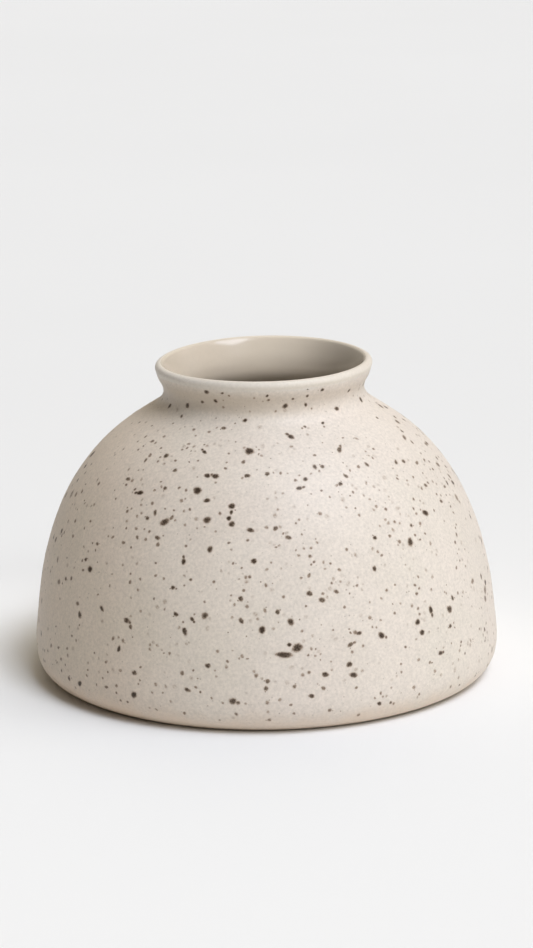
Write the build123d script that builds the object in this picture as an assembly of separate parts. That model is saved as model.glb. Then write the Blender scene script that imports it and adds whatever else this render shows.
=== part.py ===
from build123d import *
import math
import os

# Stoneware bud vase, in millimetres. +Z is up. The origin is on the vase's own axis, at the
# plane the foot ring stands on, so the whole vase lies above z = 0.
#
# The vase is a solid of revolution made of four separate solids that touch face to face:
#   stoneware_body    the fired clay: floor, foot ring, wall, shoulder, neck and lip
#   exterior_glaze    the coat outside, from the wiped line above the foot to the lip
#   liner_glaze       the coat inside, which wraps over the lip
#   underside_glaze   the coat on the recessed base, inside the foot ring
#
# Profiles are drawn in the half plane y = 0, as (radius, height) pairs. A "share" is a place
# along a curve, from 0 at its start to 1 at its end.

# ---------------------------------------------------------------- driving dimensions
glaze = 0.35                # thickness of every glaze coat

foot_radius = 56.5          # outer edge of the ring the vase stands on
foot_ring_inner = 50.2      # inner edge of that ring
foot_rise_angle = 2.5       # slope of the outside where it leaves the foot, from horizontal
recess_radius = 48.0        # recessed base, where the ring's inner slope ends
recess_depth = 1.8          # from the foot plane up to the glazed base
recess_bare_rim = 1.0       # width of bare clay around the underside glaze

floor_height = 6.1          # glazed inside floor above the foot plane
heel_radius = 7.3           # rounding between inside wall and floor
heel_centre = (53.4, floor_height + heel_radius)

lip_centre = (28.77, 87.03)  # centre of the lip's rounding
lip_round = 1.36            # half the glazed lip's thickness
lip_out_angle = 16.0        # flare of the outside at the lip, from vertical
lip_in_angle = 36.0         # flare of the inside at the lip, from vertical

# Shares of the outside curve
wipe_line = 0.0270          # exterior glaze starts here on the clay
wipe_slope = 0.003          # its outer surface starts this much further up
lip_joint = 0.9940          # exterior glaze ends and the liner starts here

# Intervals sampled along the clay's curves under the glaze
clay_low_steps = 110
clay_high_steps = 6
clay_inside_steps = 90

# Outside curve of the glazed vase, foot to lip, as (radius, height). The first point is the foot
# ring's outer edge. The body rolls out of the foot in a tight rounding, is widest 9 mm up, domes in
# to a shoulder at about 35 degrees, turns up in a tight throat at 80 mm and flares to the lip.
outside = [
    (foot_radius, 0.0), (58.52, 0.13), (59.99, 0.51), (61.27, 1.11), (62.39, 1.94),
    (63.32, 2.98), (64.09, 4.27), (64.67, 5.86), (64.97, 7.83), (64.95, 10.83),
    (64.38, 16.80), (63.67, 22.76), (62.67, 28.67), (61.34, 34.52), (59.63, 40.27),
    (57.52, 45.89), (54.98, 51.32), (51.95, 56.50), (48.54, 61.19), (44.78, 65.33),
    (40.56, 69.01), (37.01, 71.60), (34.35, 73.39), (32.35, 74.71), (30.71, 75.85),
    (29.37, 77.05), (28.46, 78.36), (27.99, 79.88), (28.08, 81.47), (28.65, 82.96),
    (29.36, 84.40),
]

# Glazed wall thickness, as (share of the outside curve, thickness): thicker low down and where the
# shoulder is collared into the neck, as thrown, and thinning towards the lip.
wall = [
    (0.0, 4.4), (0.35, 3.9), (0.78, 3.9), (0.84, 4.1), (0.885, 4.55),
    (0.915, 4.25), (0.945, 3.45), (0.972, 3.35), (1.0, 2.72),
]

# Stations of the inside curve, from the mouth down: shares of the outside curve, then angles
# round the heel in degrees from +X towards +Z
throat_shares = [0.972, 0.957, 0.943, 0.929, 0.915, 0.900, 0.884, 0.868]
flank_shares = [0.84, 0.79, 0.73, 0.66, 0.59, 0.52, 0.45, 0.38, 0.31]
heel_angles = [-4, -22, -40, -57, -74, -90]


# ---------------------------------------------------------------- helpers
def to_vector(point):
    return Vector(point[0], 0, point[1])


def point_at(curve, share):
    position = curve @ share
    return (position.X, position.Z)


def lines(*points):
    # straight edges joining the points in turn
    return [
        Edge.make_line(to_vector(start), to_vector(end)) for start, end in zip(points, points[1:])
    ]


def on_circle(centre, radius, angle):
    # angle in degrees from +X towards +Z
    angle = math.radians(angle)
    return (centre[0] + radius * math.cos(angle), centre[1] + radius * math.sin(angle))


def arc(centre, radius, start, end):
    # circular arc between two angles, through the one halfway
    angles = (start, 0.5 * (start + end), end)
    return Edge.make_three_point_arc(*[to_vector(on_circle(centre, radius, a)) for a in angles])


def spline(points, start_tangent=None, end_tangent=None):
    # interpolated curve, spaced by chord length so that unit end tangents are its true slopes
    along = [0.0]
    for start, end in zip(points, points[1:]):
        along.append(along[-1] + math.dist(start, end))
    tangents = None
    if start_tangent and end_tangent:
        tangents = [to_vector(start_tangent), to_vector(end_tangent)]
    return Edge.make_spline(
        [to_vector(p) for p in points], tangents=tangents, parameters=along, scale=False
    )


def offset_point(curve, share, depth):
    # A point moved to the left of travel. That is into the clay both on the outside curve, which
    # runs up, and on the inside curve, which runs down.
    position = curve @ share
    tangent = curve % share
    return (position.X - tangent.Z * depth, position.Z + tangent.X * depth)


def under_glaze(curve, start, end, steps):
    # evenly spaced points one coat below the curve, between two shares
    return [offset_point(curve, start + (end - start) * i / steps, glaze)
            for i in range(steps + 1)]


def wall_thickness(share):
    # straight-line interpolation in the wall table
    for (share_0, thick_0), (share_1, thick_1) in zip(wall, wall[1:]):
        if share <= share_1:
            return thick_0 + (thick_1 - thick_0) * (share - share_0) / (share_1 - share_0)


def turned(edges, name):
    # closed outline in the half plane, turned once around the axis
    solid = revolve(Face(Wire(edges)), Axis.Z, 360)
    solid.label = name
    return solid


# ---------------------------------------------------------------- outside curves
rise = math.radians(foot_rise_angle)
out_flare = math.radians(lip_out_angle)
outside_curve = spline(
    outside + [on_circle(lip_centre, lip_round, -lip_out_angle)],
    (math.cos(rise), math.sin(rise)),
    (math.sin(out_flare), math.cos(out_flare)),
)

# Either side of the lip joint: low under the exterior glaze, high under the liner
clay_low = spline(under_glaze(outside_curve, wipe_line, lip_joint, clay_low_steps))
clay_high = spline(under_glaze(outside_curve, lip_joint, 1.0, clay_high_steps))
glaze_low = outside_curve.trim(wipe_line + wipe_slope, lip_joint)
glaze_high = outside_curve.trim(lip_joint, 1.0)
joint_cut = lines(point_at(clay_low, 1), point_at(glaze_low, 1))

# ---------------------------------------------------------------- lip
lip_in_end = 180 - lip_in_angle
clay_lip = arc(lip_centre, lip_round - glaze, -lip_out_angle, lip_in_end)
glaze_lip = arc(lip_centre, lip_round, -lip_out_angle, lip_in_end)

# ---------------------------------------------------------------- inside curves
# Down the flare of the mouth, through the throat, under the shoulder, down the wall, round the
# heel and on to the floor. The wall table sets the distance from the outside curve.
in_flare = math.radians(lip_in_angle)
inside_tangents = ((-math.sin(in_flare), -math.cos(in_flare)), (-1, 0))
inside = [on_circle(lip_centre, lip_round, lip_in_end)]
inside += [offset_point(outside_curve, share, wall_thickness(share))
           for share in throat_shares + flank_shares]
inside += [on_circle(heel_centre, heel_radius, angle) for angle in heel_angles]
inside_curve = spline(inside, *inside_tangents)
clay_inside = spline(under_glaze(inside_curve, 0, 1, clay_inside_steps), *inside_tangents)

# Outer edges of the flat floor and their centres on the axis, glazed and bare
floor_edge = point_at(inside_curve, 1)
floor_middle = (0, floor_edge[1])
clay_floor_edge = point_at(clay_inside, 1)
clay_floor_middle = (0, clay_floor_edge[1])

# ---------------------------------------------------------------- recessed base
clay_base_height = recess_depth + glaze
patch_radius = recess_radius - recess_bare_rim
clay_base_middle = (0, clay_base_height)
patch_edge = (patch_radius, clay_base_height)


# ---------------------------------------------------------------- the four solids
def make_stoneware_body():
    # the base is split at the glaze's edge, and bare clay runs straight from foot to wipe line
    underside = lines(
        clay_base_middle,
        patch_edge,
        (recess_radius, clay_base_height),
        (foot_ring_inner, 0.0),
        (foot_radius, 0.0),
        point_at(clay_low, 0),
    )
    floor = lines(clay_floor_edge, clay_floor_middle, clay_base_middle)
    return turned(
        [*underside, clay_low, clay_high, clay_lip, clay_inside, *floor], "stoneware_body"
    )


def make_exterior_glaze():
    lower_edge = lines(point_at(clay_low, 0), point_at(glaze_low, 0))
    return turned([*lower_edge, glaze_low, *joint_cut, clay_low], "exterior_glaze")


def make_liner_glaze():
    floor = lines(floor_edge, floor_middle, clay_floor_middle, clay_floor_edge)
    return turned(
        [*joint_cut, glaze_high, glaze_lip, inside_curve, *floor, clay_inside, clay_lip, clay_high],
        "liner_glaze",
    )


def make_underside_glaze():
    # flat disc with its lower rim rounded by the coat's own thickness
    flat_radius = patch_radius - glaze
    glazed_base_middle = (0, recess_depth)
    return turned(
        [
            *lines(glazed_base_middle, (flat_radius, recess_depth)),
            arc((flat_radius, clay_base_height), glaze, -90, 0),
            *lines(patch_edge, clay_base_middle, glazed_base_middle),
        ],
        "underside_glaze",
    )


# ---------------------------------------------------------------- output
os.makedirs("parts", exist_ok=True)
for make in (make_stoneware_body, make_exterior_glaze, make_liner_glaze, make_underside_glaze):
    piece = make()
    export_step(piece, "parts/" + piece.label + ".step")
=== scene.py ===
import math

import bpy
import numpy as np
from mathutils import Matrix, Vector


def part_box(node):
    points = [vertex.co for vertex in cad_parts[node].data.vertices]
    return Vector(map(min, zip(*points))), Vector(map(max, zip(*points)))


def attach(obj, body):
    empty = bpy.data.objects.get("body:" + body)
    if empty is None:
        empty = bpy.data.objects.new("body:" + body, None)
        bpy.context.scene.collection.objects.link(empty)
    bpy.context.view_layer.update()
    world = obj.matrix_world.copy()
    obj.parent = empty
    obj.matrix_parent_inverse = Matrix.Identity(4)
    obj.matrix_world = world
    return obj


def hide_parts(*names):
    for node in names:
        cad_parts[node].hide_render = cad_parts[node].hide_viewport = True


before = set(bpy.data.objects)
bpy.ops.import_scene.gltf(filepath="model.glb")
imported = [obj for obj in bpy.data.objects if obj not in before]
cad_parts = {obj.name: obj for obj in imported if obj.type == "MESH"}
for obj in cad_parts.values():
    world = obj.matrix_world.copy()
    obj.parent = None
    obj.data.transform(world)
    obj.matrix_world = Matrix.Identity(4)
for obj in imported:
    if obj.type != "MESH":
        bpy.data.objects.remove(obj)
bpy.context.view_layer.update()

# Everything below is worked out in millimetres around the vase's axis and written to Blender in
# metres. Azimuth 0 is the side that faces the camera (-Y), and it grows towards +X.
MM = 0.001
TAU = 2 * math.pi

# ------------------------------------------------------------------ the vase's own curves
FOOT_R, BODY_R = 56.5, 65.0
OUTSIDE = [
    (FOOT_R, 0.0), (58.52, 0.13), (59.99, 0.51), (61.27, 1.11), (62.39, 1.94), (63.32, 2.98),
    (64.09, 4.27), (64.67, 5.86), (64.97, 7.83), (64.95, 10.83), (64.38, 16.80), (63.67, 22.76),
    (62.67, 28.67), (61.34, 34.52), (59.63, 40.27), (57.52, 45.89), (54.98, 51.32),
    (51.95, 56.50), (48.54, 61.19), (44.78, 65.33), (40.56, 69.01), (37.01, 71.60),
    (34.35, 73.39), (32.35, 74.71), (30.71, 75.85), (29.37, 77.05), (28.46, 78.36),
    (27.99, 79.88), (28.08, 81.47), (28.65, 82.96), (29.36, 84.40),
]
LIP_C, LIP_T = (28.77, 87.03), 1.36
LIP_OUT, LIP_IN = 16.0, 36.0
HEEL_C, HEEL_R = (53.4, 13.4), 7.3
GLAZE = 0.35
WIPE, JOINT = 0.0270, 0.9940
WALL = [(0.0, 4.4), (0.35, 3.9), (0.78, 3.9), (0.84, 4.1), (0.885, 4.55), (0.915, 4.25),
        (0.945, 3.45), (0.972, 3.35), (1.0, 2.72)]
RING_IN, RECESS_R, RECESS_Z = 50.2, 48.0, 1.8


def smooth(x, a, b):
    t = np.clip((np.asarray(x, float) - a) / (b - a), 0, 1)
    return t * t * (3 - 2 * t)


class Curve:
    """A clamped cubic through points in the (radius, height) half plane, read by share of length."""

    def __init__(self, points, t0, t1):
        P = np.array(points, float)
        h = np.hypot(*np.diff(P, axis=0).T)
        n = len(P)
        A, B = np.zeros((n, n)), np.zeros((n, 2))
        A[0, 0] = A[-1, -1] = 1
        B[0], B[-1] = t0, t1
        for i in range(1, n - 1):
            a, b = h[i - 1], h[i]
            A[i, i - 1], A[i, i], A[i, i + 1] = b, 2 * (a + b), a
            B[i] = 3 * (b / a * (P[i] - P[i - 1]) + a / b * (P[i + 1] - P[i]))
        D = np.linalg.solve(A, B)
        pts = []
        for i in range(n - 1):
            t = np.linspace(0, 1, 160, endpoint=False)[:, None]
            pts.append(
                (2 * t**3 - 3 * t**2 + 1) * P[i]
                + (t**3 - 2 * t**2 + t) * h[i] * D[i]
                + (3 * t**2 - 2 * t**3) * P[i + 1]
                + (t**3 - t**2) * h[i] * D[i + 1]
            )
        pts.append(P[-1:])
        self.p = np.concatenate(pts)
        step = np.hypot(*np.diff(self.p, axis=0).T)
        self.s = np.concatenate([[0], np.cumsum(step)])
        self.length = float(self.s[-1])
        d = np.gradient(self.p, self.s, axis=0)
        self.d = d / np.hypot(d[:, 0], d[:, 1])[:, None]

    def at(self, u):
        s = np.asarray(u, float) * self.length
        return np.stack([np.interp(s, self.s, self.p[:, k]) for k in (0, 1)], -1)

    def slope(self, u):
        s = np.asarray(u, float) * self.length
        d = np.stack([np.interp(s, self.s, self.d[:, k]) for k in (0, 1)], -1)
        return d / np.linalg.norm(d, axis=-1, keepdims=True)

    def under(self, u, depth):
        """The point depth mm into the wall, which is on the left of the way the curve runs."""
        p, t = self.at(u), self.slope(u)
        depth = np.asarray(depth, float)[..., None]
        return p + depth * np.stack([-t[..., 1], t[..., 0]], -1)


def on_circle(c, r, a):
    a = np.radians(a)
    return np.stack([c[0] + r * np.cos(a), c[1] + r * np.sin(a)], -1)


out_end = on_circle(LIP_C, LIP_T, -LIP_OUT)
outer = Curve(
    OUTSIDE + [tuple(out_end)],
    (math.cos(math.radians(2.5)), math.sin(math.radians(2.5))),
    (math.sin(math.radians(LIP_OUT)), math.cos(math.radians(LIP_OUT))),
)
wall_at = lambda u: np.interp(u, [w[0] for w in WALL], [w[1] for w in WALL])
inside_points = [tuple(on_circle(LIP_C, LIP_T, 180 - LIP_IN))]
for u in (0.972, 0.957, 0.943, 0.929, 0.915, 0.900, 0.884, 0.868,
          0.84, 0.79, 0.73, 0.66, 0.59, 0.52, 0.45, 0.38, 0.31):
    inside_points.append(tuple(outer.under(u, wall_at(u))))
for a in (-4, -22, -40, -57, -74, -90):
    inside_points.append(tuple(on_circle(HEEL_C, HEEL_R, a)))
inner = Curve(
    inside_points,
    (-math.sin(math.radians(LIP_IN)), -math.cos(math.radians(LIP_IN))),
    (-1, 0),
)

# The curves have to be the ones the CAD frame was made from.
low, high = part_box("exterior_glaze")
assert abs(high.x / MM - outer.p[:, 0].max()) < 0.15, "the frame's width has changed"
low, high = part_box("liner_glaze")
assert abs(high.z / MM - (LIP_C[1] + LIP_T)) < 0.1, "the frame's height has changed"


# ------------------------------------------------------------------ the hand in it
class Waves:
    """Smooth seeded noise of unit strength: a sum of waves of about one length, in mm."""

    def __init__(self, seed, length, n=26):
        rng = np.random.RandomState(seed)
        k = rng.normal(size=(n, 3))
        k /= np.linalg.norm(k, axis=1)[:, None]
        self.k = k * (TAU / length) * rng.uniform(0.65, 1.4, n)[:, None]
        self.ph = rng.uniform(0, TAU, n)
        self.amp = math.sqrt(2 / n)

    def __call__(self, P):
        return np.cos(np.asarray(P) @ self.k.T + self.ph).sum(-1) * self.amp


wave_big, wave_mid, wave_small = Waves(11, 46.0), Waves(12, 17.0), Waves(13, 6.5)


def wobble(P):
    """Small unevenness of a pot made by hand, the same for every coat at the same place."""
    P = np.asarray(P, float)
    x, y, z = P[..., 0], P[..., 1], P[..., 2]
    r = np.hypot(x, y)
    th = np.arctan2(x, -y)
    live = smooth(z, 0.3, 7.0) * smooth(r, 2.0, 20.0)
    dr = live * (
        0.10 * np.cos(2 * th + 0.7)
        + 0.05 * np.cos(3 * th + 2.1)
        + 0.075 * wave_big(P)
        + 0.03 * wave_mid(P)
        + 0.010 * wave_small(P)
        + 0.012 * np.sin(TAU * z / 4.6 + 0.7 * np.sin(th + 1.0)) * (0.6 + 0.4 * np.cos(th - 2.0))
    )
    dz = smooth(z, 55, 87) * (0.13 * np.cos(2 * th + 0.4) + 0.06 * np.cos(3 * th + 1.9))
    dz += smooth(z, 70, 85) * (0.0155 * x - 0.16)  # the mouth leans a hair to one side
    safe = np.maximum(r, 1e-6)
    return np.stack([x + dr * x / safe, y + dr * y / safe, z + dz], -1)


def around(th, rz):
    """(radius, height) at an azimuth, as a point in mm."""
    rz = np.asarray(rz, float)
    return np.stack([rz[..., 0] * np.sin(th), -rz[..., 0] * np.cos(th), rz[..., 1]], -1)


def skin(th, u, lift=0.0):
    """A point on the outside, lift mm proud of it, with the pot's own unevenness."""
    return wobble(around(th, outer.under(u, -np.asarray(lift, float))))


# ------------------------------------------------------------------ meshes
def link(name, verts, faces, edge_deg=40):
    mesh = bpy.data.meshes.new(name)
    mesh.from_pydata((np.asarray(verts) * MM).tolist(), [], faces)
    mesh.validate()
    mesh.update()
    mesh.shade_smooth()
    if edge_deg:
        mesh.set_sharp_from_angle(angle=math.radians(edge_deg))
    obj = bpy.data.objects.new(name, mesh)
    bpy.context.scene.collection.objects.link(obj)
    return obj


def turn(name, rings, segments, closed, edge_deg=40):
    """A closed solid of rings. Each ring is (radius, height), or an array with one pair for each
    segment. closed joins the last ring to the first; otherwise both ends close on the axis."""
    th = np.arange(segments) / segments * TAU
    verts, faces, base = [], [], []
    for ring in rings:
        ring = np.asarray(ring, float)
        rz = np.broadcast_to(ring, (segments, 2)) if ring.ndim == 1 else ring
        base.append(sum(len(v) for v in verts))
        if rz[:, 0].max() < 1e-6:
            verts.append(wobble(np.array([[0, 0, rz[0, 1]]])))
        else:
            verts.append(wobble(around(th, rz)))
    count = [len(v) for v in verts]
    pairs = list(zip(range(len(rings)), range(1, len(rings))))
    if closed:
        pairs.append((len(rings) - 1, 0))
    for a, b in pairs:
        A, B, na, nb = base[a], base[b], count[a], count[b]
        for i in range(segments):
            j = (i + 1) % segments
            if na == 1:
                faces.append((A, B + j, B + i))
            elif nb == 1:
                faces.append((A + i, A + j, B))
            else:
                faces.append((A + i, A + j, B + j, B + i))
    return link(name, np.concatenate(verts), faces, edge_deg)


def spaced(curve, u0, u1, step, fine=None):
    """Shares of length from u0 to u1 at about step mm, and fine = (from, to, step) where it turns."""
    out = [u0]
    while True:
        h = step
        if fine:
            for a, b, s in fine:
                if a <= out[-1] < b:
                    h = min(h, s)
        nxt = out[-1] + h / curve.length
        if nxt > u1 - 0.35 * h / curve.length:
            break
        out.append(nxt)
    return np.array(out + [u1])


def per_turn(seed, segments, lengths=(2, 3, 5, 8, 13, 21), fall=0.8):
    """A seeded closed wavy line, about -1 to 1, one value for each segment."""
    rng = np.random.RandomState(seed)
    th = np.arange(segments) / segments * TAU
    w, a = np.zeros(segments), 1.0
    for k in lengths:
        w += a * np.cos(k * th + rng.uniform(0, TAU))
        a *= fall
    return w / np.abs(w).max()


# Exterior glaze: a satin coat from a slightly wavy, beaded line above the foot up to the lip band.
SEG = 480
start = WIPE + 0.004 + 0.0035 * per_turn(5, SEG)
joint = JOINT + 0.0012 * per_turn(6, SEG)
u_out = spaced(outer, 0.0, 1.0, 0.86, [(0.0, 0.06, 0.5), (0.87, 0.97, 0.55), (0.97, 1.0, 0.5)])
rings = []
for bead in (20, 50, 80):  # rolled edge of the coat, from the clay out to its face
    a = math.radians(bead)
    u = start - (math.cos(a)) * 0.42 / outer.length
    rings.append(outer.under(u, GLAZE * (1 - math.sin(a))))
for t in u_out:
    u = start + (joint - start) * t
    swell = 0.07 * np.exp(-(((u - start) * outer.length / 0.9) ** 2))  # glaze gathers at its edge
    rings.append(outer.under(u, -swell))
u_back = spaced(outer, 0.0, 1.0, 4.6, [(0.86, 0.985, 1.6), (0.0, 0.22, 2.4)])[::-1]
for t in u_back:
    rings.append(outer.under(start - 0.003 + (joint - start + 0.003) * t, GLAZE))
exterior = turn("exterior_glaze_coat", rings, SEG, closed=True)

# Liner glaze: over the lip, down the mouth, throat, wall and heel, and across the floor.
SEG_L = 400
joint_l = JOINT + 0.0012 * np.interp(
    np.arange(SEG_L) / SEG_L, np.arange(SEG + 1) / SEG, np.append(per_turn(6, SEG), per_turn(6, SEG)[0])
)
rings = []
for t in (0.0, 0.5):
    rings.append(outer.under(joint_l + (1 - joint_l) * t, 0.0))
for a in np.linspace(-LIP_OUT, 180 - LIP_IN, 23):
    rings.append(on_circle(LIP_C, LIP_T, a))
u_in = spaced(inner, 0.0, 1.0, 1.7, [(0.0, 0.20, 0.75), (0.84, 1.0, 1.1)])
for u in u_in[1:]:
    rings.append(inner.at(u))
floor_r, floor_z = inner.p[-1]
for r in np.linspace(floor_r, 0, 44)[1:]:
    # a low spiral-like ripple left on the floor, flat again at the very centre
    z = floor_z + 0.10 * math.sin(TAU * (floor_r - r) / 5.2) * float(smooth(r, 2.5, 12.0) * (1 - smooth(r, 40, 50)))
    rings.append((max(r, 0.0), z))
hidden = [(r, floor_z - GLAZE) for r in np.linspace(0, floor_r, 6)]
u_hid = spaced(inner, 0.0, 1.0, 5.0, [(0.0, 0.20, 1.8), (0.84, 1.0, 2.4)])[::-1]
hidden += [inner.under(u, GLAZE) for u in u_hid[1:]]
hidden += [on_circle(LIP_C, LIP_T - GLAZE, a) for a in np.linspace(180 - LIP_IN, -LIP_OUT, 9)[1:]]
hidden += [outer.under(joint_l + (1 - joint_l) * t, GLAZE) for t in (0.5, 0.0)]


def turn_open(name, shown, back, segments):
    """Two skins that meet on the axis at one end and along the joint at the other."""
    # rings run joint -> lip -> floor centre, then floor centre (under) -> lip -> joint
    th = np.arange(segments) / segments * TAU
    verts, faces, base, count = [], [], [], []
    for ring in list(shown) + list(back):
        ring = np.asarray(ring, float)
        rz = np.broadcast_to(ring, (segments, 2)) if ring.ndim == 1 else ring
        base.append(sum(count))
        p = wobble(np.array([[0, 0, rz[0, 1]]])) if rz[:, 0].max() < 1e-6 else wobble(around(th, rz))
        verts.append(p)
        count.append(len(p))
    n = len(base)
    for a, b in list(zip(range(n), range(1, n))) + [(n - 1, 0)]:
        A, B, na, nb = base[a], base[b], count[a], count[b]
        if na == 1 and nb == 1:
            continue  # the two skins each close on the axis
        for i in range(segments):
            j = (i + 1) % segments
            if na == 1:
                faces.append((A, B + j, B + i))
            elif nb == 1:
                faces.append((A + i, A + j, B))
            else:
                faces.append((A + i, A + j, B + j, B + i))
    return link(name, np.concatenate(verts), faces)


liner = turn_open("liner_glaze_coat", rings, hidden, SEG_L)

# Stoneware body: the bare foot shows; the rest lies under the coats.
SEG_B = 384
base_z = RECESS_Z + GLAZE
patch_r = RECESS_R - 1.0
rings = [(r, base_z) for r in (0.0, 14.0, 28.0, 38.0, patch_r - 0.4)]
rings += [(patch_r + d, base_z) for d in (0.0, 0.3, 0.6)]
for a in np.linspace(90, 49, 5):  # small fillet where the ring's slope leaves the recess
    rings.append((RECESS_R - 0.35 + 0.5 * math.cos(math.radians(a)), base_z - 0.5 + 0.5 * math.sin(math.radians(a))))
slope = np.array([RING_IN - RECESS_R, -base_z])
for t in (0.35, 0.55, 0.72, 0.84):
    rings.append((RECESS_R + slope[0] * t, base_z + slope[1] * t))
for r, z in ((RING_IN - 0.12, 0.16), (RING_IN + 0.08, 0.05), (RING_IN + 0.35, 0.0)):
    rings.append((r, z))
for r in np.linspace(RING_IN + 0.9, FOOT_R - 0.9, 9):
    rings.append((r, 0.0))
rings += [(FOOT_R - 0.40, 0.0), (FOOT_R - 0.12, 0.03), (FOOT_R + 0.14, 0.10)]
clay0 = outer.under(WIPE, GLAZE)
for t in (0.2, 0.36, 0.52, 0.68, 0.84, 1.0):
    rings.append((FOOT_R + (clay0[0] - FOOT_R) * t, clay0[1] * t + 0.02 * (1 - t)))
for u in spaced(outer, WIPE, 1.0, 4.4, [(0.86, 0.985, 1.5), (0.0, 0.22, 2.2)])[1:]:
    rings.append(outer.under(u, GLAZE))
rings += [on_circle(LIP_C, LIP_T - GLAZE, a) for a in np.linspace(-LIP_OUT, 180 - LIP_IN, 9)[1:]]
rings += [inner.under(u, GLAZE) for u in u_hid[::-1][1:]]
rings += [(r, floor_z - GLAZE) for r in np.linspace(floor_r, 0, 6)[1:]]
body = turn("stoneware_vessel", rings, SEG_B, closed=False, edge_deg=50)

# Underside glaze: a patch with a rolled, slightly wavy edge and a shallow pool in the middle.
SEG_U = 256
edge = patch_r - 0.25 + 0.22 * per_turn(8, SEG_U)
rings = [(r, RECESS_Z + 0.05 * (1 - (r / patch_r) ** 2)) for r in (0.0, 4, 9, 14, 19, 24, 29, 33, 36.5, 39)]
for back, z in ((2.2, 0.0), (1.4, -0.05), (0.8, -0.06), (0.42, -0.03), (0.2, 0.04), (0.07, 0.13), (0.0, 0.24)):
    rings.append(np.stack([edge - back, np.full(SEG_U, RECESS_Z + z)], -1))
rings.append(np.stack([edge - 0.02, np.full(SEG_U, base_z)], -1))
rings += [(r, base_z) for r in (34.0, 22.0, 10.0, 0.0)]
under = turn("underside_glaze_patch", rings, SEG_U, closed=False)


# ------------------------------------------------------------------ iron specks
# Prominent specks on the side that faces the camera, as measured on the pot:
# (azimuth in degrees, height, length, width in mm, tilt of the length from level in degrees)
MARKED = [
    (7.5, 24.1, 2.6, 2, 10), (5.5, 25, 1.1, 1, 0), (4, 22.4, 3.8, 1.5, 176), (-6, 71.2, 2.1, 2.1, 80),
    (-30, 54.3, 2.7, 1.6, 30), (-22, 62.3, 2.2, 1.8, 170), (12, 74.1, 3, 1.3, 130),
    (45, 27.9, 3.1, 1.2, 100), (32, 70.6, 3.1, 1.2, 50), (43, 46.8, 2.3, 1.5, 70),
    (-43, 59.8, 3, 1.2, 10), (-10, 57.9, 1.1, 0.9, 90), (-10.5, 56.5, 1.2, 1.1, 100),
    (-9.5, 55.2, 1.5, 1.4, 0), (-36, 28.3, 2.7, 1.3, 160),
    (52, 26.9, 2.1, 1.6, 150), (-17, 55.8, 2, 1.5, 30), (47, 16.3, 2.6, 1.1, 0),
    (-8, 10, 1.8, 1.6, 170), (53, 52.3, 2.1, 1.4, 160), (12, 63.2, 2.6, 1, 10),
    (6, 30.9, 1.7, 1.5, 100), (-1, 29, 1.9, 1.4, 60), (-33, 8.9, 1.7, 1.5, 70),
    (29, 24.9, 1.8, 1.4, 150), (-15, 32.4, 1.8, 1.4, 40), (-22, 45.9, 2.5, 1, 100),
    (-52, 38.8, 1.8, 1.4, 10), (21, 15.5, 2, 1.3, 170), (-17, 65.7, 1.8, 1.4, 0),
    (21, 23.9, 2.4, 1, 20), (-53, 26.3, 1.7, 1.4, 130), (-20, 27.9, 1.9, 1.2, 100),
    (-10, 59.3, 1.5, 1.5, 170), (41, 23.3, 1.5, 1.4, 170), (14, 36, 1.7, 1.2, 180),
    (-51, 7.8, 1.6, 1.3, 50), (-4, 53.8, 1.8, 1.1, 160), (20, 18.5, 1.5, 1.3, 0),
    (-25, 70.7, 2.3, 0.9, 140), (-15, 48.9, 1.7, 1.2, 80), (40, 26.3, 1.4, 1.4, 10),
    (14, 16.5, 1.6, 1.2, 160), (-40, 68.7, 1.5, 1.3, 50), (-18, 60.3, 1.6, 1.1, 20),
    (-3, 46.4, 1.5, 1.2, 20), (-45, 29.9, 1.7, 1, 140), (-18, 30.9, 2, 0.9, 130),
    (-33, 14.9, 1.4, 1.2, 0), (11, 37.9, 1.4, 1.3, 170), (-38, 20.4, 1.7, 1, 80),
    (-20, 65.7, 1.5, 1.2, 180), (12, 81.2, 1.4, 1.2, 60), (44.5, 78.5, 1.4, 1.1, 170),
    (-47.5, 79.9, 1.6, 1.3, 90), (-31, 85.1, 1.4, 1.1, 20), (32.5, 84.9, 1.1, 0.9, 10),
    (-27, 82.5, 1.2, 1, 100), (-36, 81.7, 1.1, 0.9, 30), (69.5, 78.5, 1.6, 1.1, 120),
    (-65, 78.2, 1.6, 1.2, 60), (23.5, 85.9, 1, 0.7, 0), (55, 82.5, 1.2, 0.8, 30),
    (24, 81, 1.1, 0.8, 120), (-10, 77.6, 1.2, 1, 30), (31.5, 76, 1, 0.8, 20),
    (-49, 76.9, 1.1, 0.9, 150), (24, 83.7, 0.9, 0.8, 60), (16, 83.2, 0.8, 0.7, 0),
    (2, 84.6, 0.9, 0.7, 40), (-22, 85.1, 0.9, 0.6, 10), (68, 74, 1, 0.8, 60),
    (21, 75.7, 0.9, 0.8, 90),
]
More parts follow.
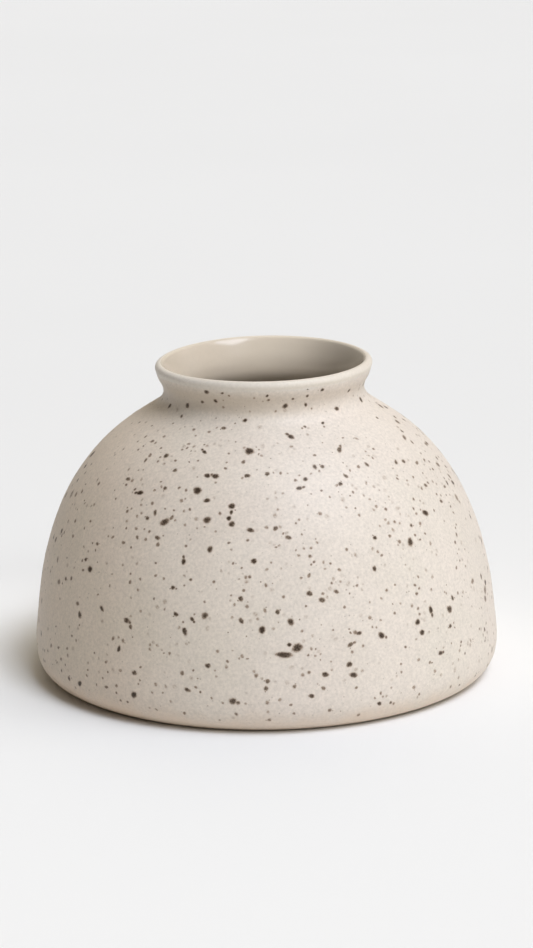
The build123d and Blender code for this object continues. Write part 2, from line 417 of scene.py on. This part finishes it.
# and less prominent ones, with how dark they are as a last figure
SOFTER = [
    (72.5, 23.9, 2, 1.5, 140, 0.65), (65.5, 30.9, 2, 1.3, 20, 0.56), (70, 68.7, 2, 1.3, 30, 0.65),
    (76.5, 60.3, 2, 1.3, 160, 0.64), (-66, 31.9, 2, 1.2, 10, 0.63),
    (72.5, 30.2, 1.6, 1.3, 110, 0.66), (-70, 36.9, 1.8, 1.1, 120, 0.56),
    (-14, 19.2, 1.3, 1.2, 10, 0.83), (-6, 31.3, 1.6, 1, 130, 0.78), (-50.5, 62.1, 1.6, 1, 0, 0.7),
    (6.5, 51.9, 1.6, 1, 170, 0.74), (63, 63.3, 1.6, 1, 10, 0.62), (-19, 12.3, 1.6, 1, 160, 0.79),
    (10.5, 11, 1.5, 1, 160, 0.84), (-6, 66.1, 1.4, 1.1, 170, 0.83),
    (18.5, 67.5, 1.4, 1.1, 80, 0.76), (-31, 50.4, 1.5, 1, 170, 0.74),
    (56.5, 64.8, 1.3, 1.1, 170, 0.68), (-54.5, 29, 1.4, 1.1, 10, 0.65), (-66, 14, 1.5, 1, 30, 0.54),
    (3, 54.2, 1.3, 1.1, 20, 0.77), (29.5, 42.1, 1.4, 1, 90, 0.84), (-34, 56.2, 1.5, 0.9, 100, 0.72),
    (14, 65, 1.2, 1.1, 70, 0.82), (23, 26.4, 1.5, 0.9, 0, 0.82), (39, 66.4, 1.3, 1, 110, 0.76),
    (-64.5, 44.8, 1.4, 0.9, 170, 0.53), (1, 66.5, 1.2, 1.1, 80, 0.79),
    (27.5, 6.6, 1.3, 1, 130, 0.82), (70, 55.7, 1.4, 0.9, 0, 0.61),
    (59.5, 58.2, 1.4, 0.9, 150, 0.69),
]


def share_at_height(z):
    k = np.argmax(outer.p[:, 1] >= z)
    return outer.s[k] / outer.length


class Specks:
    """Closed, low, uneven blobs of iron that bleed into the glaze around them."""

    def __init__(self):
        self.v, self.f, self.iron, self.n = [], [], [], 0

    def add(self, rng, th, u, length, width, tilt, strength):
        length, width = 1.15 * length, 1.15 * width
        size = math.sqrt(length * width)
        fine = size < 0.62
        m = 6 if fine else (8 if size < 1.2 else 16)
        rise = min(0.012 + 0.022 * size, 0.055) * (0.06 + 0.94 * strength ** 1.5)
        # (share of the radius, lift over the coat, iron); the last ring dips just under the coat
        if fine:
            steps = [(0.0, rise, 1.0), (0.62, 0.75 * rise, 0.82), (1.15, 0.15 * rise, 0.26), (1.75, -0.011, 0.0)]
        elif size < 1.2:
            steps = [(0.0, rise, 1.0), (0.56, 0.88 * rise, 0.94), (0.92, 0.45 * rise, 0.58), (1.28, 0.1 * rise, 0.18),
                     (1.8, -0.012, 0.0)]
        else:
            steps = [(0.0, rise, 1.0), (0.46, 0.93 * rise, 0.97), (0.74, 0.68 * rise, 0.84), (1.0, 0.36 * rise, 0.50),
                     (1.26, 0.12 * rise, 0.20), (1.55, 0.0, 0.02), (1.88, -0.014, 0.0)]
        steps = [(rho, lift + 0.007, core) for rho, lift, core in steps]
        a = np.arange(m) / m * TAU
        lobes = 1 + 0.06 * np.cos(2 * a + rng.uniform(0, TAU)) + 0.05 * np.cos(3 * a + rng.uniform(0, TAU)) \
            + 0.03 * np.cos(5 * a + rng.uniform(0, TAU))
        if not fine and length / width > 1.25:  # longer ones taper to one end
            lobes *= 1 + 0.08 * np.cos(a + rng.choice([0, math.pi]))
        ct, st = math.cos(math.radians(tilt)), math.sin(math.radians(tilt))
        rad = float(outer.at(u)[0])

        def put(rho, lift):
            x = rho * lobes * 0.5 * length * np.cos(a)
            y = rho * lobes * 0.5 * width * np.sin(a)
            along, up = x * ct - y * st, x * st + y * ct
            return skin(th + along / rad, np.clip(u + up / outer.length, 0.035, 0.99), np.full(m, lift))

        base, verts, iron = self.n, [], []
        verts.append(skin(np.array([th]), np.array([u]), np.array([steps[0][1]])))
        iron += [strength]
        for rho, lift, core in steps[1:]:
            verts.append(put(rho, lift))
            iron += [strength * core] * m
        verts.append(skin(np.array([th]), np.array([u]), np.array([-0.07])))
        iron += [0.0]
        rows = len(steps) - 1
        for i in range(m):
            j = (i + 1) % m
            self.f.append((base, base + 1 + i, base + 1 + j))
            for k in range(rows - 1):
                A, B = base + 1 + k * m, base + 1 + (k + 1) * m
                self.f.append((A + i, B + i, B + j, A + j))
            L = base + 1 + (rows - 1) * m
            self.f.append((L + i, base + 1 + rows * m, L + j))
        self.v.append(np.concatenate(verts))
        self.iron += iron
        self.n += 2 + rows * m


rng = np.random.RandomState(2024)
specks = Specks()
placed = []  # (x, y, z, radius) on the even pot, to keep blobs apart


def clear_of(th, u, r, gap=0.12):
    p = around(np.array([th]), outer.at(np.array([u])))[0]
    if placed:
        q = np.array(placed)
        if (np.linalg.norm(q[:, :3] - p, axis=1) < q[:, 3] + r + gap).any():
            return False
    placed.append((*p, r))
    return True


for row in MARKED + SOFTER:
    az, z, length, width, tilt = row[:5]
    length, width = 0.93 * length, 0.93 * width
    th, u = math.radians(az), share_at_height(z)
    placed.append((*around(np.array([th]), outer.at(np.array([u])))[0], math.sqrt(length * width) / 2))
    strength = row[5] if len(row) > 5 else rng.uniform(0.76, 0.93)
    if length / width < 1.75 or length > 3.3:
        specks.add(rng, th, u, length, width, tilt, strength)
        continue
    # a long one is a round blob with a smaller one run into its end
    way = rng.choice([-1, 1])
    for share, thick, depth in ((0.62, 1.0, strength), (0.42, 0.72, 0.86 * strength)):
        off = way * 0.5 * (1 - share) * length
        way = -way
        specks.add(rng, th + off * math.cos(math.radians(tilt)) / float(outer.at(u)[0]),
                   u + off * math.sin(math.radians(tilt)) / outer.length,
                   share * length, min(thick * width, share * length), tilt, depth)

# The rest are scattered by area, thicker in some places than others, few near the foot.
crowd = Waves(31, 26.0)
FEWER = ((-80, -50, -28, -5, 8, 30, 55, 80), (0.70, 0.66, 0.80, 0.95, 1.25, 1.20, 0.95, 1.1))
cum = np.cumsum(outer.p[1:, 0] * np.diff(outer.s))
cum /= cum[-1]
sizes = np.array([0.20, 0.30, 0.40, 0.50, 0.60, 0.70, 0.80, 0.90, 1.00, 1.20, 1.40, 1.60, 1.80, 2.00, 2.30])
share = np.array([22, 40, 60, 84, 94, 90, 78, 62, 50, 34, 19, 12, 7, 3], float)
cdf = np.concatenate([[0], np.cumsum(share) / share.sum()])
WANT, tries, made = 2150, 0, 0
while made < WANT and tries < 40000:
    tries += 1
    th = rng.uniform(-math.pi, math.pi)
    u = float(np.interp(rng.uniform(), cum, outer.s[1:] / outer.length))
    size = float(np.interp(rng.uniform(), cdf, sizes))
    pick, asp, tilt, strength = rng.uniform(), 1 + 0.6 * rng.uniform() ** 2.2, rng.uniform(0, 180), rng.uniform()
    r, z = outer.at(u)
    if z < 3.2 or z > 85.0:
        continue
    keep = 0.56 + 0.16 * float(crowd(around(np.array([th]), np.array([[r, z]])))[0])
    keep *= float(smooth(z, 2.5, 8.0)) * 0.9 + 0.1
    if abs(th) < math.radians(80):
        keep *= float(np.interp(math.degrees(th), FEWER[0], FEWER[1])) * (0.45 if z > 76 and size > 0.6 else 1.0)
    if pick > keep:
        continue
    if size > 1.05 and abs(th) < math.radians(72):
        size = 0.50 + 0.6 * (size - 1.05)  # the largest ones on that side are the marked ones
    if not clear_of(th, u, size / 2):
        continue
    depth = 0.25 + 0.43 * strength if size < 0.95 else 0.46 + 0.40 * strength
    if strength < 0.27 and size < 1.25:  # the faint ones lie deeper in the glaze and look soft
        size, depth = size + 0.12, 0.18 + 0.6 * strength
    specks.add(rng, th, u, 1.06 * size * math.sqrt(asp), 1.06 * size / math.sqrt(asp), tilt, depth)
    made += 1
    # a few large ones trail a small companion, as the iron runs
    if size > 0.9 and strength > 0.6:
        off = rng.uniform(0, TAU)
        gap = size * 0.62 + 0.25
        th2, u2 = th + gap * math.cos(off) / r, u + gap * math.sin(off) / outer.length
        if 0.06 < u2 < 0.97 and clear_of(th2, u2, 0.2, 0.0):
            specks.add(rng, th2, u2, 0.5, 0.36, rng.uniform(0, 180), 0.8 * depth)

iron_specks = link("iron_specks", np.concatenate(specks.v), specks.f, edge_deg=60)
layer = iron_specks.data.attributes.new("iron", "FLOAT", "POINT")
layer.data.foreach_set("value", np.array(specks.iron, np.float32))


# ------------------------------------------------------------------ materials
def srgb(r, g, b):
    lin = lambda c: c / 12.92 if c <= 0.04045 else ((c + 0.055) / 1.055) ** 2.4
    return (lin(r / 255), lin(g / 255), lin(b / 255), 1.0)


class Mat:
    """A short way to write node materials."""

    def __init__(self, name):
        self.m = bpy.data.materials.new(name)
        self.m.use_nodes = True
        self.t = self.m.node_tree
        self.t.nodes.clear()
        self.out = self.t.nodes.new("ShaderNodeOutputMaterial")
        self.b = self.t.nodes.new("ShaderNodeBsdfPrincipled")
        self.t.links.new(self.b.outputs[0], self.out.inputs[0])
        self.co = self.t.nodes.new("ShaderNodeTexCoord").outputs["Object"]

    def put(self, socket, value):
        if hasattr(value, "is_output"):
            self.t.links.new(value, socket)
        else:
            socket.default_value = value
        return self

    def set(self, **kw):
        for k, v in kw.items():
            self.put(self.b.inputs[k.replace("_", " ")], v)
        return self

    def math(self, op, a, b=0.0, c=0.0, clamp=False):
        n = self.t.nodes.new("ShaderNodeMath")
        n.operation, n.use_clamp = op, clamp
        for i, v in enumerate((a, b, c)):
            self.put(n.inputs[i], v)
        return n.outputs[0]

    def span(self, x, a, b, lo=0.0, hi=1.0, kind="SMOOTHSTEP"):
        n = self.t.nodes.new("ShaderNodeMapRange")
        n.interpolation_type = kind
        for i, v in enumerate((x, a, b, lo, hi)):
            self.put(n.inputs[i], v)
        return n.outputs[0]

    def noise(self, size_mm, detail=2.0, rough=0.5, offset=0.0, warp=0.0, stretch=None):
        n = self.t.nodes.new("ShaderNodeTexNoise")
        n.inputs["Scale"].default_value = 1.0 / (size_mm * MM)
        n.inputs["Detail"].default_value = detail
        n.inputs["Roughness"].default_value = rough
        n.inputs["Distortion"].default_value = warp
        self.put(n.inputs["Vector"], self.moved(offset, stretch))
        return n.outputs[0]

    def moved(self, offset, stretch=None):
        if not offset and not stretch:
            return self.co
        n = self.t.nodes.new("ShaderNodeMapping")
        n.inputs["Location"].default_value = (offset, offset * 0.7, -offset * 0.4)
        n.inputs["Scale"].default_value = stretch or (1, 1, 1)
        self.put(n.inputs["Vector"], self.co)
        return n.outputs[0]

    def cells(self, size_mm, offset=0.0):
        """Distance to the nearest scattered point, as a share of the cell, and that cell's colour."""
        n = self.t.nodes.new("ShaderNodeTexVoronoi")
        n.inputs["Scale"].default_value = 1.0 / (size_mm * MM)
        self.put(n.inputs["Vector"], self.moved(offset))
        parts = self.t.nodes.new("ShaderNodeSeparateColor")
        self.put(parts.inputs[0], n.outputs["Color"])
        return n.outputs["Distance"], parts.outputs

    def mix(self, f, a, b, mode="MIX"):
        n = self.t.nodes.new("ShaderNodeMix")
        n.data_type, n.blend_type, n.clamp_factor = "RGBA", mode, True
        self.put(n.inputs[0], f)
        self.put(n.inputs[6], a)
        self.put(n.inputs[7], b)
        return n.outputs[2]

    def scaled(self, colour, f):
        """The colour times a number."""
        n = self.t.nodes.new("ShaderNodeVectorMath")
        n.operation = "SCALE"
        self.put(n.inputs[0], colour if hasattr(colour, "is_output") else colour[:3])
        self.put(n.inputs["Scale"], f)
        return n.outputs[0]

    def tinted(self, colour, tint):
        """The colour times another, channel by channel."""
        n = self.t.nodes.new("ShaderNodeVectorMath")
        n.operation = "MULTIPLY"
        self.put(n.inputs[0], colour)
        n.inputs[1].default_value = tint
        return n.outputs[0]

    def side(self):
        """How far to the camera's right of the axis a point lies, in mm."""
        n = self.t.nodes.new("ShaderNodeSeparateXYZ")
        self.put(n.inputs[0], self.co)
        return self.math("MULTIPLY", n.outputs[0], 1000.0)

    def height(self):
        n = self.t.nodes.new("ShaderNodeSeparateXYZ")
        self.put(n.inputs[0], self.co)
        return self.math("DIVIDE", n.outputs[2], MM)

    def bump(self, *layers):
        """Layers of (height from 0 to 1, depth in mm), summed into one bump."""
        total = None
        for h, depth in layers:
            part = self.math("MULTIPLY", h, depth * MM)
            total = part if total is None else self.math("ADD", total, part)
        n = self.t.nodes.new("ShaderNodeBump")
        n.inputs["Strength"].default_value = 1.0
        n.inputs["Distance"].default_value = 1.0
        self.put(n.inputs["Height"], total)
        self.put(self.b.inputs["Normal"], n.outputs[0])
        return self


GREIGE = srgb(217, 206, 192)
GREIGE_WARM = srgb(217, 205, 191)
GREIGE_COOL = srgb(215, 205, 190)
WARM_FOOT_TONE = srgb(222, 201, 178)      # warmer, pinker tone towards the foot
LIP_TONE = srgb(220, 212, 200)
IRON = srgb(49, 37, 27)
IRON_HALO = srgb(134, 106, 78)


def glaze_tone(k, specks_in_glaze=True):
    """Colour, roughness and surface of the satin glaze, the same on the coat and round a speck."""
    broad = k.noise(48, 1.5, 0.5, 3.1)
    patch = k.noise(15, 2.5, 0.55, 1.7)
    fleck = k.noise(2.6, 3.0, 0.6, 0.3)
    grain = k.noise(0.75, 2.0, 0.6)
    c = k.mix(k.span(broad, 0.38, 0.64), GREIGE_WARM, GREIGE_COOL)
    c = k.mix(k.span(patch, 0.35, 0.68), c, GREIGE)
    f = k.math("ADD", k.span(patch, 0.3, 0.7, -0.012, 0.012, "LINEAR"), 1.0)
    f = k.math("ADD", f, k.span(fleck, 0.3, 0.7, -0.024, 0.018, "LINEAR"))
    f = k.math("ADD", f, k.span(grain, 0.3, 0.7, -0.092, 0.082, "LINEAR"))
    c = k.scaled(c, f)
    z = k.height()
    # warmer towards the foot, paler where it meets the lip's own glaze
    ragged = k.math("ADD", z, k.span(k.noise(9, 3, 0.6, 5.0), 0.25, 0.75, -2.2, 2.2, "LINEAR"))
    c = k.mix(k.span(ragged, 0.2, 8.0, 0.70, 0.0), c, WARM_FOOT_TONE)
    lip = k.math("ADD", z, k.span(k.noise(5, 2, 0.5, 9.0), 0.3, 0.7, -0.5, 0.5, "LINEAR"))
    c = k.mix(k.span(lip, 85.2, 86.3, 0.0, 0.85), c, k.scaled(LIP_TONE, k.span(grain, 0.3, 0.7, 0.94, 1.04, "LINEAR")))
    # painted light and shade: a hair warmer towards the shaded -X side and cooler towards the lit +X side, standing in
    # for the colour of the light
    side = k.side()
    cool = k.mix(k.span(side, -22.0, 12.0), c, k.tinted(c, (1.0, 1.012, 1.045)))
    c = k.mix(k.span(side, -46.0, -18.0, 1.0, 0.0), cool, k.tinted(c, (1.0, 0.955, 0.91)))
    # painted shade: darker in the hollow of the waist, more so towards the shaded -X side
    waist = k.math("MULTIPLY", k.span(z, 77.8, 80.2), k.span(z, 83.0, 86.0, 1.0, 0.0))
    c = k.mix(k.math("MULTIPLY", waist, k.span(k.side(), -17.0, 20.0, 0.56, 0.14)), c, srgb(184, 169, 150))
    if specks_in_glaze:
        # pinprick specks lying inside the coat, sharp and faint ones
        clear = k.math("MULTIPLY", k.span(ragged, 2.0, 6.0), k.span(lip, 84.2, 85.4, 1.0, 0.0))
        for size, offset, few, lo, hi, deep in ((1.75, 0.0, 0.55, 0.05, 0.13, 0.62), (1.05, 4.0, 0.42, 0.06, 0.15, 0.42)):
            d, rgb = k.cells(size, offset)
            radius = k.span(rgb[1], 0.0, 1.0, lo, hi, "LINEAR")
            near = k.span(d, k.math("MULTIPLY", radius, 0.15), k.math("MULTIPLY", radius, 1.6), 1.0, 0.0)
            here = k.math("GREATER_THAN", rgb[0], few)
            amount = k.math("MULTIPLY", near, k.math("MULTIPLY", here, k.span(rgb[2], 0, 1, 0.35 * deep, deep, "LINEAR")))
            c = k.mix(k.math("MULTIPLY", amount, clear), c, k.mix(0.5, IRON, IRON_HALO))
    rough = k.math("ADD", k.span(patch, 0.3, 0.7, 0.47, 0.57, "LINEAR"), k.span(grain, 0.3, 0.7, -0.03, 0.03, "LINEAR"))
    surface = ((k.noise(3.4, 1.5, 0.5, 7.0), 0.020), (grain, 0.0035), (k.noise(0.28, 1.0, 0.5), 0.0010))
    return c, rough, surface


k = Mat("satin_speckled_glaze")
colour, rough, surface = glaze_tone(k)
k.set(Base_Color=colour, Roughness=rough, IOR=1.5).bump(*surface)
satin = k.m

k = Mat("iron_speck_in_glaze")
colour, rough, surface = glaze_tone(k, False)
att = k.t.nodes.new("ShaderNodeAttribute")
att.attribute_name = "iron"
iron = k.math("ADD", att.outputs["Fac"], k.math("MULTIPLY", k.span(k.noise(0.45, 2, 0.6, 2.0), 0.3, 0.7, -0.16, 0.12, "LINEAR"), k.span(att.outputs["Fac"], 0.05, 0.3)), clamp=True)
dark = k.mix(k.noise(0.9, 2, 0.5, 6.0), IRON, srgb(62, 47, 36))
c = k.mix(k.span(iron, 0.0, 0.55, 0.0, 0.72), colour, IRON_HALO)
c = k.mix(k.span(iron, 0.30, 0.92), c, dark)
k.set(Base_Color=c, Roughness=k.span(iron, 0.0, 1.0, rough, 0.42), IOR=1.5)
k.set(Specular_IOR_Level=k.span(iron, 0.0, 1.0, 0.5, 0.32)).bump(*surface)
speck_mat = k.m

k = Mat("gloss_liner_glaze")
broad, fine = k.noise(26, 2, 0.5, 1.0), k.noise(1.6, 3, 0.6)
c = k.mix(k.span(broad, 0.35, 0.65), srgb(210, 197, 180), srgb(205, 192, 174))
c = k.scaled(c, k.span(fine, 0.3, 0.7, 0.982, 1.015, "LINEAR"))
z = k.height()
# how far round the lip, from the inside's edge of the crest to the outside
radius = k.t.nodes.new("ShaderNodeVectorMath")
radius.operation = "LENGTH"
flat = k.t.nodes.new("ShaderNodeVectorMath")
flat.operation = "MULTIPLY"
k.put(flat.inputs[0], k.co)
flat.inputs[1].default_value = (1, 1, 0)
k.put(radius.inputs[0], flat.outputs[0])
over = k.math("MULTIPLY", k.span(radius.outputs["Value"], 28.0 * MM, 28.9 * MM), k.span(z, 83.0, 84.0))
crest_grain = k.noise(0.75, 2.0, 0.6)
c = k.mix(k.math("MULTIPLY", over, 0.9), c, k.scaled(LIP_TONE, k.span(crest_grain, 0.3, 0.7, 0.94, 1.04, "LINEAR")))
# the glaze runs thin over the crest of the lip and lets a little of the buff clay through
crest = k.math("ADD", z, k.span(k.noise(7, 2, 0.5, 3.0), 0.3, 0.7, -0.25, 0.25, "LINEAR"))
c = k.mix(k.math("MULTIPLY", k.span(crest, 87.7, 88.35), 0.12), c, srgb(206, 186, 164))
# and pools a little darker at the heel
c = k.mix(k.span(z, 6.0, 13.0, 0.35, 0.0), c, srgb(188, 174, 153))
# painted light and shade in the neck: paler above the throat, darker in it and towards +X
neck = k.math("MULTIPLY", k.math("SUBTRACT", 1.0, over), k.span(z, 66.0, 74.0))
paler = k.math("MULTIPLY", k.span(z, 77.4, 80.2, 0.2, 0.64), k.span(k.side(), -14.0, 4.0))
c = k.mix(k.math("MULTIPLY", neck, paler), c, srgb(230, 217, 197))
neck_painted_shade = k.math("MAXIMUM", k.span(z, 76.6, 79.6, 0.55, 0.0), k.span(k.side(), 9.0, 25.0, 0.0, 0.85))
c = k.mix(k.math("MULTIPLY", neck, neck_painted_shade), c, k.scaled(c, 0.62))
# glossy inside, settling to the outside's satin as it rolls over the crest of the lip
k.set(Base_Color=c, Roughness=k.math("ADD", k.span(fine, 0.3, 0.7, 0.10, 0.16, "LINEAR"), k.math("MULTIPLY", over, 0.36)), IOR=1.5)
k.set(Coat_Weight=k.math("MULTIPLY", k.math("SUBTRACT", 1.0, over), 0.12), Coat_Roughness=0.06)
k.bump((k.noise(5.0, 1.5, 0.5, 2.0), 0.020), (k.noise(1.1, 1, 0.5), 0.0012))
gloss = k.m

k = Mat("gloss_underside_glaze")
broad, fine = k.noise(22, 2, 0.5, 8.0), k.noise(1.5, 3, 0.6, 2.0)
c = k.mix(k.span(broad, 0.35, 0.65), srgb(221, 210, 194), srgb(214, 203, 186))
c = k.scaled(c, k.span(fine, 0.3, 0.7, 0.975, 1.015, "LINEAR"))
for size, offset, few, lo, hi in ((3.2, 2.0, 0.55, 0.05, 0.16), (1.5, 6.0, 0.6, 0.05, 0.12)):
    d, rgb = k.cells(size, offset)
    radius = k.span(rgb[1], 0.0, 1.0, lo, hi, "LINEAR")
    near = k.span(d, k.math("MULTIPLY", radius, 0.5), k.math("MULTIPLY", radius, 1.2), 1.0, 0.0)
    c = k.mix(k.math("MULTIPLY", near, k.math("MULTIPLY", k.math("GREATER_THAN", rgb[0], few), 0.8)), c, IRON)
k.set(Base_Color=c, Roughness=k.span(fine, 0.3, 0.7, 0.14, 0.24, "LINEAR"), IOR=1.5)
k.bump((k.noise(4.0, 1.5, 0.5), 0.02), (k.noise(0.9, 2, 0.5), 0.003))
under_mat = k.m

k = Mat("bare_stoneware")
broad, grit = k.noise(19, 3, 0.6, 4.0), k.noise(1.3, 4, 0.65)
c = k.mix(k.span(broad, 0.3, 0.7), srgb(196, 170, 141), srgb(183, 155, 125))
c = k.scaled(c, k.span(grit, 0.25, 0.75, 0.90, 1.08, "LINEAR"))
# toasted where the fire reached it, beside the glaze line
c = k.mix(k.span(k.height(), 0.35, 1.2, 0.0, 0.35), c, srgb(166, 122, 84))
for size, offset, few, lo, hi, tone in ((1.5, 0.0, 0.55, 0.08, 0.2, srgb(92, 66, 46)), (1.1, 3.0, 0.6, 0.1, 0.22, srgb(219, 205, 184))):
    d, rgb = k.cells(size, offset)
    radius = k.span(rgb[1], 0.0, 1.0, lo, hi, "LINEAR")
    near = k.span(d, k.math("MULTIPLY", radius, 0.6), k.math("MULTIPLY", radius, 1.1), 1.0, 0.0)
    c = k.mix(k.math("MULTIPLY", near, k.math("MULTIPLY", k.math("GREATER_THAN", rgb[0], few), 0.7)), c, tone)
k.set(Base_Color=c, Roughness=k.span(grit, 0.3, 0.7, 0.78, 0.92, "LINEAR"), Specular_IOR_Level=0.25)
k.bump((grit, 0.05), (k.noise(0.4, 3, 0.6), 0.02), (k.noise(3.0, 2, 0.5, 1.0, stretch=(1, 1, 4)), 0.04))
clay = k.m

for obj, mat, slot, nodes in (
    (exterior, satin, "speckled_satin_glaze", ["exterior_glaze"]),
    (iron_specks, speck_mat, "speckled_satin_glaze", []),
    (liner, gloss, "gloss_liner_glaze", ["liner_glaze"]),
    (under, under_mat, "gloss_underside_glaze", ["underside_glaze"]),
    (body, clay, "bare_stoneware", ["stoneware_body"]),
):
    obj.data.materials.append(mat)
    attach(obj, "root")
    if nodes:
        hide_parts(*nodes)

# ------------------------------------------------------------------ stage
HAZE = (0.855, 0.855, 0.86, 1.0)
seg, radii = 96, [0.0, 0.3, 0.8, 1.6, 3.0, 5.0, 8.0, 14.0]
verts, faces = [(0, 0, 0)], []
for r in radii[1:]:
    verts += [(r * 1000 * math.cos(i / seg * TAU), r * 1000 * math.sin(i / seg * TAU), 0) for i in range(seg)]
for i in range(seg):
    j = (i + 1) % seg
    faces.append((0, 1 + i, 1 + j))
    for n in range(len(radii) - 2):
        A, B = 1 + n * seg, 1 + (n + 1) * seg
        faces.append((A + i, B + i, B + j, A + j))
floor = link("floor", np.array(verts), faces, None)
k = Mat("floor_paper")
tone = k.noise(420, 3, 0.5)
paper = k.mix(k.span(tone, 0.3, 0.7), (0.788, 0.784, 0.771, 1), (0.800, 0.796, 0.783, 1))
# painted light: the paper a little brighter towards the front (-Y) and darker towards the back
across = k.t.nodes.new("ShaderNodeSeparateXYZ")
k.put(across.inputs[0], k.co)
paper = k.scaled(paper, k.span(across.outputs[1], -0.22, 0.35, 1.045, 0.985))
# painted light and painted shadow on the floor: a paler place behind the vase on the -X side and a darker place in
# front of it on the -X side
for x, y, reach, change in ((-0.070, 0.055, 0.055, 1.14), (-0.070, -0.040, 0.042, 0.955)):
    apart = k.t.nodes.new("ShaderNodeVectorMath")
    apart.operation = "DISTANCE"
    k.put(apart.inputs[0], k.co)
    apart.inputs[1].default_value = (x, y, 0)
    paper = k.scaled(paper, k.span(apart.outputs["Value"], 0.0, reach, change, 1.0))
k.set(Base_Color=paper, Roughness=0.95, Specular_IOR_Level=0.1)
k.bump((k.noise(1.2, 3, 0.6), 0.01))
# far away the floor fades into the backdrop
far = k.t.nodes.new("ShaderNodeVectorMath")
far.operation = "LENGTH"
k.put(far.inputs[0], k.co)
glow = k.t.nodes.new("ShaderNodeEmission")
glow.inputs[0].default_value = HAZE
blend = k.t.nodes.new("ShaderNodeMixShader")
k.put(blend.inputs[0], k.span(far.outputs["Value"], 2.2, 7.0))
k.put(blend.inputs[1], k.b.outputs[0])
k.put(blend.inputs[2], glow.outputs[0])
k.put(k.out.inputs[0], blend.outputs[0])
floor.data.materials.append(k.m)


def aimed(elevation, azimuth):
    """Direction from the vase to a light, azimuth 0 on the camera's side and growing to +X."""
    e, a = math.radians(elevation), math.radians(azimuth)
    return Vector((math.cos(e) * math.sin(a), -math.cos(e) * math.cos(a), math.sin(e)))


# The key is one big softbox, high on the right and a little in front, cut into overlapping parts.
# The first part is only mirrored, to place the highlight. The others only light the vase.
for n, (elevation, azimuth, power, angle) in enumerate(
    ((62, 57, 1.05, 30), (63, 40, 1.25, 25), (58, 78, 0.54, 28), (46, 36, 0.88, 28))
):
    light = bpy.data.lights.new(f"key_softbox_{n}", "SUN")
    light.energy, light.angle, light.color = power, math.radians(angle), (0.957, 1.015, 1.135)
    key = bpy.data.objects.new(f"key_softbox_{n}", light)
    bpy.context.scene.collection.objects.link(key)
    way_to = aimed(elevation, azimuth)
    key.location = way_to * 1.5
    key.visible_glossy, key.visible_diffuse = n == 0, n > 0
    key.rotation_mode = "QUATERNION"
    key.rotation_quaternion = (-way_to).to_track_quat("-Z", "Y")

world = bpy.data.worlds.new("studio")
bpy.context.scene.world = world
world.use_nodes = True
nt = world.node_tree
nt.nodes.clear()
out = nt.nodes.new("ShaderNodeOutputWorld")
way = nt.nodes.new("ShaderNodeTexCoord").outputs["Generated"]


def calc(op, a, b):
    n = nt.nodes.new("ShaderNodeMath")
    n.operation = op
    for i, v in enumerate((a, b)):
        if hasattr(v, "is_output"):
            nt.links.new(v, n.inputs[i])
        else:
            n.inputs[i].default_value = v
    return n.outputs[0]


glow_sum = 0.0
# (elevation, azimuth, strength): window light low on the right, bounce from the front, top at the back
for elevation, azimuth, strength in ((8, 62, 1.05), (8, 0, 0.24), (45, 180, 1.15)):
    dot = nt.nodes.new("ShaderNodeVectorMath")
    dot.operation = "DOT_PRODUCT"
    nt.links.new(way, dot.inputs[0])
    dot.inputs[1].default_value = aimed(elevation, azimuth)
    lobe = calc("POWER", calc("MAXIMUM", dot.outputs["Value"], 0.0), 4.0)
    glow_sum = calc("ADD", calc("MULTIPLY", lobe, strength), glow_sum)
room = nt.nodes.new("ShaderNodeBackground")
room.inputs[0].default_value = (1.074, 0.975, 0.803, 1)
nt.links.new(glow_sum, room.inputs[1])
back = nt.nodes.new("ShaderNodeBackground")
back.inputs[0].default_value, back.inputs[1].default_value = HAZE, 1.0
path = nt.nodes.new("ShaderNodeLightPath")
pick = nt.nodes.new("ShaderNodeMixShader")
nt.links.new(path.outputs["Is Camera Ray"], pick.inputs[0])
nt.links.new(room.outputs[0], pick.inputs[1])
nt.links.new(back.outputs[0], pick.inputs[2])
nt.links.new(pick.outputs[0], out.inputs[0])

# ------------------------------------------------------------------ camera
PITCH, ROLL, FAR, FOCAL = 0.2544, -0.01153, 15 * 65.0, 232.1 * 15
X0, Y0 = 265.08, 529.94          # where the point 39 mm up the axis falls in the 533 x 948 frame
right, ahead = Vector((1, 0, 0)), Vector((0, math.cos(PITCH), -math.sin(PITCH)))
above = Vector((0, math.sin(PITCH), math.cos(PITCH)))
fx, fy = (X0 - 266.5) / FOCAL, (Y0 - 474.0) / FOCAL
cr, sr = math.cos(ROLL), math.sin(ROLL)
ux, uy = cr * fx + sr * fy, -sr * fx + cr * fy
where = Vector((0, 0, 39.0)) - FAR * (ahead + ux * right - uy * above)
cam_x, cam_y = cr * right + sr * above, -sr * right + cr * above
cam = bpy.data.cameras.new("camera")
cam.sensor_width, cam.lens = 36.0, FOCAL * 36.0 / 948.0
cam.clip_start, cam.clip_end = 0.05, 60.0
camera = bpy.data.objects.new("camera", cam)
bpy.context.scene.collection.objects.link(camera)
camera.matrix_world = Matrix.Translation(where * MM) @ Matrix(
    [[cam_x[i], cam_y[i], -ahead[i]] for i in range(3)]
).to_4x4()
bpy.context.scene.camera = camera
bpy.context.scene.view_settings.view_transform = "Standard"
bpy.context.scene.view_settings.look = "None"
